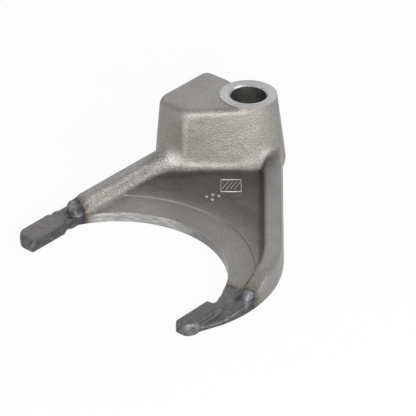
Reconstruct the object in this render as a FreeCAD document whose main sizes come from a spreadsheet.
"""Shift fork: a one-piece steel forging with machined bore, opening and tine pads.

The origin lies on the axis of the rail bore, at the level of the machined lower faces.
+Z runs along the bore, the two tines point towards -Y, and the selector block stands on
the -X side of the hub. Lengths are in millimetres, angles in degrees.
"""
import FreeCAD, Part
import math
import os
import Sketcher

NODE = "shift_fork"

# Driving dimensions: alias, value, what it is
DIMENSIONS = [
    ("bore_diameter", 22.0, "rail bore, a running fit on the shift rail"),
    ("bore_chamfer", 1.0, "chamfer at both mouths of the bore"),
    ("ring_radius", 17.6, "machined ring face at the top of the hub"),
    ("hub_height", 47.0, "length of the bore"),
    ("hub_draft", 7.5, "forging draft of the hub and of the wall that runs into it"),
    ("side_draft", 3.3, "forging draft of the block's other walls"),
    ("rim_draft", 7.0, "forging draft of the rims and of the outer contour"),
    ("web_thickness", 6.0, "plate between the rims"),
    ("pad_thickness", 8.0, "machined tine ends"),
    ("rim_height", 9.0, "rims above the web"),
    ("rim_width", 11.6, "rims at the parting plane"),
    ("rim_foot_radius", 4.0, "fillet between rim and web"),
    ("rim_foot_flare", 3.5, "height and width of the right rim's flared foot"),
    ("foot_angle", 45.0, "lean of that foot from the upright"),
    ("rim_edge_radius", 1.5, "rounded top edges of the rims"),
    ("rim_nose_radius", 4.5, "rounded ends of the rims in plan"),
    ("block_height", 46.6, "top of the selector block"),
    ("block_left", 40.8, "left side of the block at its top, from the bore axis"),
    ("block_back", 7.8, "back side of the block at its top, from the bore axis"),
    ("block_front", 42.4, "tine side of the block at its top, from the bore axis"),
    ("wall_angle_top", 47.0, "plan direction of the wall tangent to the hub, at its top"),
    ("wall_angle_foot", 41.0, "plan direction of that wall at the parting plane"),
    ("block_big_radius", 12.0, "corner between the left and the tine side"),
    ("block_back_radius", 5.0, "corner between the left and the back side"),
    ("block_small_radius", 6.0, "corner between the tine side and the tangent wall"),
    ("block_foot_radius", 5.5, "fillet between block, hub and web"),
    ("block_edge_radius", 4.0, "rounded top edge of the block"),
    ("left_wall", 35.4, "outer wall of the left rim, from the bore axis"),
    ("right_wall", 21.5, "outer wall of the right rim, from the bore axis"),
    ("right_wall_angle", 50.0, "how far the right rim leans from the +X direction"),
    ("opening_x", 31.4, "centre of the opening, across"),
    ("opening_y", 155.9, "centre of the opening, from the bore axis towards the tines"),
    ("opening_radius", 65.4, "machined edge of the opening"),
    ("shoulder_y", 129.8, "centre of the outer shoulder arc, towards the tines"),
    ("shoulder_radius", 80.6, "outer shoulder arc at the parting plane"),
    ("band_x", 28.6, "centre of the milled band, across"),
    ("band_y", 152.7, "centre of the milled band, towards the tines"),
    ("band_radius", 80.7, "outer edge of the milled band round the opening"),
    ("band_depth", 0.5, "how far the band lies below the rest of the web"),
    ("jaw_width", 118.4, "clear width between the two tine pads"),
    ("jaw_left", 26.2, "inner face of the left pad, from the bore axis"),
    ("left_pad_outer", 41.0, "outer side of the left pad, from the bore axis"),
    ("left_pad_start", 134.5, "start of the left pad"),
    ("left_tip", 164.3, "end of the left tine"),
    ("left_flare", 111.0, "where the left tine starts to widen towards its pad"),
    ("left_flare_end", 119.0, "where the left tine has its full width"),
    ("right_pad_width", 11.0, "raised width of the right pad"),
    ("right_pad_start", 144.0, "start of the right pad"),
    ("right_tip", 172.4, "end of the right tine"),
    ("ledge_drop", 2.4, "floor of the ledge outside the right pad, below the web"),
    ("ledge_run", 14.0, "length of the slope that leads down to the ledge"),
    ("left_nose", 126.5, "end of the left rim"),
    ("right_nose", 132.0, "end of the right rim"),
    ("left_tip_radius", 8.0, "outer corner of the left tine end"),
    ("right_tip_radius", 5.0, "outer corner of the right tine end"),
    ("nose_run", 7.0, "length of the slope at the end of each rim"),
    ("nose_lip", 2.5, "height of each rim's nose above the web"),
    ("pad_root", 4.0, "how far a pad reaches past the jaw before the opening is cut"),
    ("tip_inner_radius", 2.0, "inner corners of the tine ends"),
]

doc = FreeCAD.newDocument("shift_fork")

sheet = doc.addObject("Spreadsheet::Sheet", "dims")
for row, (alias, value, note) in enumerate(DIMENSIONS, start=1):
    sheet.set("A%d" % row, note)
    sheet.set("B%d" % row, str(value))
    sheet.setAlias("B%d" % row, alias)
doc.recompute()


class Size:
    """A length with its number and with the sheet expression that gives it."""

    def __init__(self, value, text):
        self.value = float(value)
        self.text = text

    def __add__(self, other):
        other = as_size(other)
        return Size(self.value + other.value, "(%s + %s)" % (self.text, other.text))

    def __sub__(self, other):
        other = as_size(other)
        return Size(self.value - other.value, "(%s - %s)" % (self.text, other.text))

    def __mul__(self, other):
        other = as_size(other)
        return Size(self.value * other.value, "(%s * %s)" % (self.text, other.text))

    def __truediv__(self, other):
        other = as_size(other)
        return Size(self.value / other.value, "(%s / %s)" % (self.text, other.text))

    def __neg__(self):
        return Size(-self.value, "(-1 * %s)" % self.text)


def as_size(number):
    """A plain number as a Size."""
    if isinstance(number, Size):
        return number
    return Size(number, "(%.6g)" % number)


def dim(alias):
    """A driving dimension of the sheet."""
    return Size(sheet.get(alias), "dims.%s" % alias)


def tan(angle):
    """The tangent of an angle of the sheet."""
    return Size(math.tan(math.radians(angle.value)), "tan(%s)" % angle.text)


def sin(angle):
    """The sine of an angle of the sheet."""
    return Size(math.sin(math.radians(angle.value)), "sin(%s)" % angle.text)


def cos(angle):
    """The cosine of an angle of the sheet."""
    return Size(math.cos(math.radians(angle.value)), "cos(%s)" % angle.text)


body = doc.addObject("PartDesign::Body", NODE)
body.Label = NODE
body.Placement = FreeCAD.Placement()


def plane_sketch(name, height, role="XY_Plane"):
    """A sketch parallel to one of the origin planes, at a height above it."""
    sketch = body.newObject("Sketcher::SketchObject", name)
    ground = [item for item in body.Origin.OriginFeatures if item.Role == role][0]
    sketch.AttachmentSupport = [(ground, "")]
    sketch.MapMode = "FlatFace"
    sketch.setExpression("AttachmentOffset.Base.z", height.text)
    return sketch


def bind(sketch, kind, geometry, position, size):
    """Tie one coordinate of a sketch point to the sheet."""
    number = sketch.addConstraint(
        Sketcher.Constraint(kind, -1, 1, geometry, position, size.value))
    sketch.setExpression("Constraints[%d]" % number, size.text)


def bind_point(sketch, geometry, position, corner):
    """Tie the end of a side to the coordinates that its corner binds."""
    if "x" in corner.bound:
        bind(sketch, "DistanceX", geometry, position, corner.x)
    if "y" in corner.bound:
        bind(sketch, "DistanceY", geometry, position, corner.y)


def bind_radius(sketch, geometry, size):
    """Tie a radius to the sheet."""
    number = sketch.addConstraint(Sketcher.Constraint("Radius", geometry, size.value))
    sketch.setExpression("Constraints[%d]" % number, size.text)


def draw_circle(sketch, x, y, radius):
    """A circle about a point."""
    centre = FreeCAD.Vector(x.value, y.value, 0)
    up = FreeCAD.Vector(0, 0, 1)
    ring = sketch.addGeometry(Part.Circle(centre, up, radius.value))
    bind(sketch, "DistanceX", ring, 3, x)
    bind(sketch, "DistanceY", ring, 3, y)
    bind_radius(sketch, ring, radius)


class Corner:
    """A corner of an outline.

    bound says which coordinates the sheet gives, rounding is the radius of the corner,
    and arc is the centre and radius of the arc that leaves the corner.
    """

    def __init__(self, x, y, bound="xy", rounding=None, arc=None):
        self.x = x
        self.y = y
        self.bound = bound
        self.rounding = rounding
        self.arc = arc
        self.point = FreeCAD.Vector(x.value, y.value, 0)


def side_curve(start, finish):
    """The line or arc from one corner to the next, and the ends it has there."""
    if start.arc is None:
        return Part.LineSegment(start.point, finish.point), 1, 2
    centre_x, centre_y, radius = start.arc
    centre = FreeCAD.Vector(centre_x.value, centre_y.value, 0)
    angles = []
    for corner in (start, finish):
        offset = corner.point - centre
        angles.append(math.atan2(offset.y, offset.x))
    turn = (angles[1] - angles[0]) % (2 * math.pi)
    circle = Part.Circle(centre, FreeCAD.Vector(0, 0, 1), radius.value)
    if turn < math.pi:
        return Part.ArcOfCircle(circle, angles[0], angles[1]), 1, 2
    return Part.ArcOfCircle(circle, angles[1], angles[0]), 2, 1


def along(curve, point, reach):
    """A point of a line or arc, a short way from one of its ends."""
    start = curve.value(curve.FirstParameter)
    if start.distanceToPoint(point) < 0.001:
        return curve.value(curve.parameterAtDistance(reach, curve.FirstParameter))
    return curve.value(curve.parameterAtDistance(-reach, curve.LastParameter))


def draw_outline(sketch, corners):
    """A closed outline through the corners, rounded where they say so."""
    sides = []
    for index, start in enumerate(corners):
        finish = corners[(index + 1) % len(corners)]
        curve, first, last = side_curve(start, finish)
        sides.append((sketch.addGeometry(curve), first, last))
    curved = []
    for index, (side, first, last) in enumerate(sides):
        before, _, before_last = sides[index - 1]
        sketch.addConstraint(
            Sketcher.Constraint("Coincident", before, before_last, side, first))
        meets_arc = corners[index].arc is not None or corners[index - 1].arc is not None
        curved.append(meets_arc and corners[index].rounding is not None)
    for index, corner in enumerate(corners):
        side, first, _ = sides[index]
        if not curved[index]:
            bind_point(sketch, side, first, corner)
        if corner.arc is not None:
            bind(sketch, "DistanceX", side, 3, corner.arc[0])
            bind(sketch, "DistanceY", side, 3, corner.arc[1])
            bind_radius(sketch, side, corner.arc[2])
    for index, corner in enumerate(corners):
        side, first, _ = sides[index]
        before, _, before_last = sides[index - 1]
        if corner.rounding is None:
            continue
        radius = corner.rounding.value
        if curved[index]:
            near = along(sketch.Geometry[before], corner.point, radius)
            past = along(sketch.Geometry[side], corner.point, radius)
            sketch.fillet(before, side, near, past, radius, True, False)
            bind_radius(sketch, sketch.GeometryCount - 1, corner.rounding)
            if corner.arc is None:
                bind_point(sketch, side, first, corner)
            else:
                bind_point(sketch, before, before_last, corner)
        else:
            sketch.fillet(side, first, radius, True, True)
            bind_radius(sketch, sketch.GeometryCount - 2, corner.rounding)


def pad(sketch, name, up, down=None, taper=None):
    """Material above the sketch, and below it where down is given."""
    feature = body.newObject("PartDesign::Pad", name)
    feature.Profile = sketch
    feature.setExpression("Length", up.text)
    if taper is not None:
        feature.setExpression("TaperAngle", (-taper).text)
    if down is not None:
        feature.SideType = "Two sides"
        feature.setExpression("Length2", down.text)
        if taper is not None:
            feature.setExpression("TaperAngle2", (-taper).text)
    body.Tip = feature
    doc.recompute()
    return feature


def pocket(sketch, name, depth, reverse=False):
    """Material taken away below the sketch, or above it where reverse is set."""
    feature = body.newObject("PartDesign::Pocket", name)
    feature.Profile = sketch
    feature.Reversed = reverse
    feature.setExpression("Length", depth.text)
    body.Tip = feature
    doc.recompute()
    return feature


def lies_at(edge, height):
    """Whether an edge lies in the horizontal plane at a height."""
    box = edge.BoundBox
    return abs(box.ZMin - height.value) < 0.01 and abs(box.ZMax - height.value) < 0.01


def is_inner(edge):
    """Whether an edge of the body is an inner corner, with material on most sides."""
    middle = (edge.FirstParameter + edge.LastParameter) / 2
    place = edge.valueAt(middle)
    tangent = edge.tangentAt(middle)
    side = tangent.cross(FreeCAD.Vector(0, 0, 1))
    if side.Length < 0.01:
        side = tangent.cross(FreeCAD.Vector(1, 0, 0))
    side.normalize()
    other = tangent.cross(side)
    filled = 0
    for turn in range(8):
        angle = math.radians(45 * turn + 22.5)
        probe = place + side * (0.05 * math.cos(angle)) + other * (0.05 * math.sin(angle))
        filled += body.Tip.Shape.isInside(probe, 0.0001, False)
    return filled > 4


def round_edges(name, radius, wanted):
    """A fillet on the edges of the body that the rule picks."""
    base = body.Tip
    picked = []
    for number, edge in enumerate(base.Shape.Edges, start=1):
        if wanted(edge):
            picked.append("Edge%d" % number)
    feature = body.newObject("PartDesign::Fillet", name)
    feature.Base = (base, picked)
    feature.setExpression("Radius", radius.text)
    body.Tip = feature
    doc.recompute()
    return feature


def slope_nose(name, nose, across, reach):
    """Cut the top of a rim down along a slope that ends at its nose."""
    run = dim("nose_run")
    outline = plane_sketch(name + "_outline", across, "YZ_Plane")
    draw_outline(outline, [
        Corner(nose + run, rim_top + dim("nose_lip")),
        Corner(nose + run, rim_top),
        Corner(nose - dim("nose_lip"), web_top + dim("nose_lip")),
        Corner(nose - run, web_top + dim("nose_lip")),
        Corner(nose - run, rim_top + dim("nose_lip")),
    ])
    pocket(outline, name, reach, reverse=True)


parting = dim("pad_thickness") * 0.5
web_half = dim("web_thickness") * 0.5
web_top = parting + web_half
floor_top = web_top + dim("band_depth")
rim_rise = web_half + dim("rim_height")
rim_top = parting + rim_rise
origin = as_size(0)

# Selector block: a loft between its top and its foot; one wall is tangent to the hub
def block_corners(height, wall_angle):
    """The outline of the block at a height, with the draft that it has there."""
    grown = (dim("block_height") - height) * tan(dim("side_draft"))
    reach = dim("ring_radius") + (dim("hub_height") - height) * tan(dim("hub_draft"))
    left = -(dim("block_left") + grown)
    front = -(dim("block_front") + grown)
    back = dim("block_back") + grown
    side_end = (reach + cos(wall_angle) * front) / sin(wall_angle)
    return [
        Corner(left, back, rounding=dim("block_back_radius")),
        Corner(left, front, rounding=dim("block_big_radius")),
        Corner(side_end, front, rounding=dim("block_small_radius")),
        Corner(reach * sin(wall_angle), -(reach * cos(wall_angle))),
        Corner(origin, back),
    ]


block_foot = plane_sketch("block_foot", parting)
draw_outline(block_foot, block_corners(parting, dim("wall_angle_foot")))
block_top = plane_sketch("block_top", dim("block_height"))
draw_outline(block_top, block_corners(dim("block_height"), dim("wall_angle_top")))
block = body.newObject("PartDesign::AdditiveLoft", "block")
block.Profile = block_top
block.Sections = [block_foot]
block.Ruled = True
body.Tip = block
doc.recompute()

round_edges("block_top_rounding", dim("block_edge_radius"),
            lambda edge: lies_at(edge, dim("block_height")))

block_base_outline = plane_sketch("block_base_outline", parting)
draw_outline(block_base_outline, block_corners(parting, dim("wall_angle_foot")))
block_base = pad(block_base_outline, "block_base", web_half, taper=dim("rim_draft"))
block_base.Reversed = True
doc.recompute()

# Plate: drafted up and down from the parting plane, with the outer contour of the fork
lean = dim("right_wall_angle")
wall_x = sin(lean)
wall_y = cos(lean)
shoulder_radius = dim("shoulder_radius")
shoulder_y = -dim("shoulder_y")
shoulder_x = (dim("right_wall") - shoulder_radius - wall_y * shoulder_y) / wall_x
left_wall = -dim("left_wall")
left_pad_outer = -dim("left_pad_outer")
left_tip = -dim("left_tip")
right_tip = -dim("right_tip")
right_tip_radius = dim("right_tip_radius")


def beside_hub(inset):
    """A point beside the hub on the right wall, or on a line that far inside it."""
    reach = dim("right_wall") - inset
    return reach * wall_x, reach * wall_y


def at_shoulder(inset):
    """Where the right wall, or the line that far inside it, runs into its arc."""
    reach = shoulder_radius - inset
    return shoulder_x + reach * wall_x, shoulder_y + reach * wall_y


def shoulder_at_height(y, inset):
    """The number of the x at which the shoulder arc passes a height in the plan."""
    reach = shoulder_radius.value - inset.value
    return Size(shoulder_x.value + math.sqrt(reach ** 2 - (y.value - shoulder_y.value) ** 2), "")


outer_arc = (shoulder_x, shoulder_y, shoulder_radius)
flush = origin
plate_outline = plane_sketch("plate_outline", parting)
draw_outline(plate_outline, [
    Corner(left_wall, origin),
    Corner(left_wall, -dim("left_flare")),
    Corner(left_pad_outer, -dim("left_flare_end")),
    Corner(left_pad_outer, left_tip, rounding=dim("left_tip_radius")),
    Corner(dim("opening_x"), left_tip),
    Corner(dim("opening_x"), right_tip),
    Corner(shoulder_at_height(right_tip, flush), right_tip, "y", right_tip_radius, outer_arc),
    Corner(*at_shoulder(flush), "y"),
    Corner(*beside_hub(flush)),
])
pad(plate_outline, "plate", web_half, web_half, dim("rim_draft"))

# Hub: a drafted boss round the bore, on both sides of the parting plane
hub_up = dim("hub_height") - parting
hub_radius = dim("ring_radius") + hub_up * tan(dim("hub_draft"))
hub_outline = plane_sketch("hub_outline", parting)
draw_circle(hub_outline, origin, origin, hub_radius)
pad(hub_outline, "hub", hub_up, parting, dim("hub_draft"))

# Rims: they stand on the edge of the plate and end in rounded noses
rim_width = dim("rim_width")
nose_radius = dim("rim_nose_radius")
left_nose = -dim("left_nose")
right_nose = -dim("right_nose")
inner_arc = (shoulder_x, shoulder_y, shoulder_radius - rim_width)
rim_outline = plane_sketch("left_rim_outline", parting)
draw_outline(rim_outline, [
    Corner(left_wall, -dim("block_front") * 0.5),
    Corner(left_wall, left_nose, rounding=nose_radius),
    Corner(left_wall + rim_width, left_nose, rounding=nose_radius),
    Corner(left_wall + rim_width, -dim("block_front") * 0.5),
])
pad(rim_outline, "left_rim", rim_rise, taper=dim("rim_draft"))
rim_outline = plane_sketch("right_rim_outline", parting)
draw_outline(rim_outline, [
    Corner(*beside_hub(rim_width)),
    Corner(*at_shoulder(rim_width), "y", arc=inner_arc),
    Corner(shoulder_at_height(right_nose, rim_width), right_nose, "y", nose_radius),
    Corner(shoulder_at_height(right_nose, flush), right_nose, "y", nose_radius, outer_arc),
    Corner(*at_shoulder(flush), "y"),
    Corner(*beside_hub(flush)),
])
pad(rim_outline, "right_rim", rim_rise, taper=dim("rim_draft"))

# Foot of the block and the hub on the web
block_reach = -(dim("block_front") + nose_radius)
round_edges("block_foot_rounding", dim("block_foot_radius"),
            lambda edge: lies_at(edge, web_top) and is_inner(edge)
            and edge.BoundBox.YMin > block_reach.value)

# Ends of the rims: their tops slope down to the noses
slope_nose("left_nose_slope", left_nose, left_pad_outer, dim("left_wall"))
slope_nose("right_nose_slope", right_nose, dim("opening_x"), shoulder_radius * 2)

# Rounded top edges of the rims, then the fillet at the foot of the left rim
round_edges("rim_edge_rounding", dim("rim_edge_radius"),
            lambda edge: lies_at(edge, rim_top) and not is_inner(edge))
round_edges("rim_foot_rounding", dim("rim_foot_radius"),
            lambda edge: lies_at(edge, web_top) and is_inner(edge)
            and edge.BoundBox.XMax < 0 and edge.BoundBox.YMin < block_reach.value)

# Flared foot of the right rim, towards the web and round its nose
flare = dim("rim_foot_flare")
foot_outline = plane_sketch("right_foot_outline", web_top)
flared_width = rim_width + flare - web_half * tan(dim("rim_draft"))
flared_arc = (shoulder_x, shoulder_y, shoulder_radius - flared_width)
flared_nose = right_nose - flare
draw_outline(foot_outline, [
    Corner(*beside_hub(flared_width)),
    Corner(*at_shoulder(flared_width), "y", arc=flared_arc),
    Corner(shoulder_at_height(flared_nose, flared_width), flared_nose, "y", nose_radius + flare),
    Corner(shoulder_at_height(flared_nose, web_half), flared_nose, "y", None,
           (shoulder_x, shoulder_y, shoulder_radius - web_half)),
    Corner(*at_shoulder(web_half), "y"),
    Corner(*beside_hub(web_half)),
])
pad(foot_outline, "right_rim_foot", flare, taper=dim("foot_angle"))

# Floor of the web between the rims: it stays a little higher than the milled band
jaw_left = -dim("jaw_left")
jaw_right = jaw_left + dim("jaw_width")
band_arc = (dim("band_x"), -dim("band_y"), dim("band_radius"))
floor_left = left_wall + rim_width * 0.5
middle_arc = (shoulder_x, shoulder_y, shoulder_radius - rim_width * 0.5)


def band_at_side(x):
    """The number of the y at which the band's edge passes a place across."""
    reach = dim("band_radius").value
    return Size(-dim("band_y").value + math.sqrt(reach ** 2 - (x.value - dim("band_x").value) ** 2), "")


def band_meets_rim():
    """The numbers of the place where the band's edge passes under the right rim."""
    centre = FreeCAD.Vector(band_arc[0].value, band_arc[1].value, 0)
    middle = FreeCAD.Vector(shoulder_x.value, shoulder_y.value, 0)
    between = middle - centre
    apart = between.Length
    share = (apart ** 2 + band_arc[2].value ** 2 - middle_arc[2].value ** 2) / (2 * apart)
    height = math.sqrt(band_arc[2].value ** 2 - share ** 2)
    across = FreeCAD.Vector(-between.y, between.x, 0) / apart
    point = centre + between * (share / apart) + across * height
    if point.x < centre.x:
        point = centre + between * (share / apart) - across * height
    return Size(point.x, ""), Size(point.y, "")


floor_outline = plane_sketch("floor_outline", parting)
draw_outline(floor_outline, [
    Corner(floor_left, -dim("block_front") * 0.5),
    Corner(floor_left, band_at_side(floor_left), "x", arc=band_arc),
    Corner(*band_meets_rim(), "", arc=middle_arc),
    Corner(*at_shoulder(rim_width * 0.5), "y"),
    Corner(*beside_hub(rim_width * 0.5)),
])
pad(floor_outline, "web_floor", floor_top - parting)

# Tine ends: raised pads, flush with the outer contour where they reach it
pad_root = dim("pad_root")
pad_outline = plane_sketch("left_pad_outline", parting)
draw_outline(pad_outline, [
    Corner(left_pad_outer, -dim("left_pad_start")),
    Corner(left_pad_outer, left_tip, rounding=dim("left_tip_radius")),
    Corner(jaw_left + pad_root, left_tip),
    Corner(jaw_left + pad_root, -dim("left_pad_start")),
])
pad(pad_outline, "left_pad", parting, parting, dim("rim_draft"))
pad_side = jaw_right + dim("right_pad_width")


def shoulder_at_side(x):
    """The number of the lower y at which the outer arc passes a place across."""
    reach = shoulder_radius.value
    return Size(shoulder_y.value - math.sqrt(reach ** 2 - (x.value - shoulder_x.value) ** 2), "")


pad_outline = plane_sketch("right_pad_outline", parting)
draw_outline(pad_outline, [
    Corner(jaw_right - pad_root, -dim("right_pad_start")),
    Corner(jaw_right - pad_root, right_tip),
    Corner(shoulder_at_height(right_tip, flush), right_tip, "y", right_tip_radius, outer_arc),
    Corner(pad_side, shoulder_at_side(pad_side), "x"),
    Corner(pad_side, -dim("right_pad_start")),
])
pad(pad_outline, "right_pad", parting, parting, dim("rim_draft"))

# Ledge outside the right pad, led down to by a slope
ledge_floor = web_top - dim("ledge_drop")
ledge_start = -(dim("right_pad_start") - dim("ledge_run") * 0.5)
ledge_side = plane_sketch("ledge_side", pad_side, "YZ_Plane")
draw_outline(ledge_side, [
    Corner(ledge_start, web_top),
    Corner(ledge_start - dim("ledge_run"), ledge_floor),
    Corner(right_tip - pad_root, ledge_floor),
    Corner(right_tip - pad_root, rim_top),
    Corner(ledge_start, rim_top),
])
ledge = pocket(ledge_side, "ledge", shoulder_radius, reverse=True)

# Opening between the tines
notch = -(dim("right_pad_start") - dim("tip_inner_radius") * 0.8)
opening_y = -dim("opening_y")
opening_radius = dim("opening_radius")
opening_arc = (dim("opening_x"), opening_y, opening_radius)


def opening_at_side(x):
    """The number of the upper y at which the opening passes a place across."""
    reach = opening_radius.value
    return Size(opening_y.value + math.sqrt(reach ** 2 - (x.value - dim("opening_x").value) ** 2), "")


def opening_at_height(y):
    """The number of the right x at which the opening passes a height in the plan."""
    reach = opening_radius.value
    return Size(dim("opening_x").value + math.sqrt(reach ** 2 - (y.value - opening_y.value) ** 2), "")


past_tips = right_tip - opening_radius
opening_outline = plane_sketch("opening_outline", dim("pad_thickness"))
draw_outline(opening_outline, [
    Corner(jaw_left, past_tips),
    Corner(jaw_left, opening_at_side(jaw_left), "x", arc=opening_arc),
    Corner(opening_at_height(notch), notch, "y"),
    Corner(jaw_right, -dim("right_pad_start"), rounding=dim("tip_inner_radius")),
    Corner(jaw_right, past_tips),
])
pocket(opening_outline, "opening", dim("pad_thickness"))

# Rail bore, with a chamfer at both mouths
bore_radius = dim("bore_diameter") * 0.5
mouth_radius = bore_radius + dim("bore_chamfer")
bore_profile = plane_sketch("bore_profile", origin, "XZ_Plane")
draw_outline(bore_profile, [
    Corner(origin, origin),
    Corner(mouth_radius, origin),
    Corner(bore_radius, dim("bore_chamfer")),
    Corner(bore_radius, dim("hub_height") - dim("bore_chamfer")),
    Corner(mouth_radius, dim("hub_height")),
    Corner(origin, dim("hub_height")),
])
bore = body.newObject("PartDesign::Groove", "rail_bore")
bore.Profile = bore_profile
bore.ReferenceAxis = (bore_profile, ["V_Axis"])
bore.Angle = 360
body.Tip = bore
doc.recompute()

for item in doc.Objects:
    if "Invalid" in item.State or "Error" in item.State:
        raise RuntimeError("%s did not build" % item.Name)
if body.Shape.isNull() or not body.Shape.isValid() or len(body.Shape.Solids) != 1:
    raise RuntimeError("the fork is not one valid solid")

os.makedirs("parts", exist_ok=True)
body.Shape.exportStep("parts/%s.step" % NODE)
